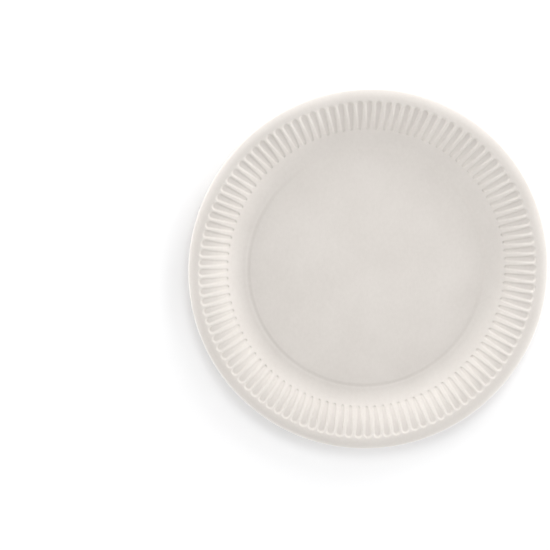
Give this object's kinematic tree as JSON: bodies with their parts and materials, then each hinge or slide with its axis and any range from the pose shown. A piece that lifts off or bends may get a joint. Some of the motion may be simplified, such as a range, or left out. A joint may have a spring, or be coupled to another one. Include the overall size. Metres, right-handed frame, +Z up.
{
  "type": "paper plate",
  "caption": "Round shallow plate pressed from white paperboard, with a flat panel raised a step above its foot ring, a radially fluted wall and a plain turned-down brim.",
  "frame": {"origin": "centre of the plate on the plane it stands on, which is the underside of the foot ring", "axes": "+Z up along the plate's axis, out of its eating side; X and Y lie in the plane it stands on"},
  "size_m": [0.23, 0.23, 0.0145],
  "materials": {
    "paperboard": "uncoated, matt, warm white, with a fine fibre grain"
  },
  "bodies": {
    "root": {"plate": "paperboard"}
  },
  "joints": []
}
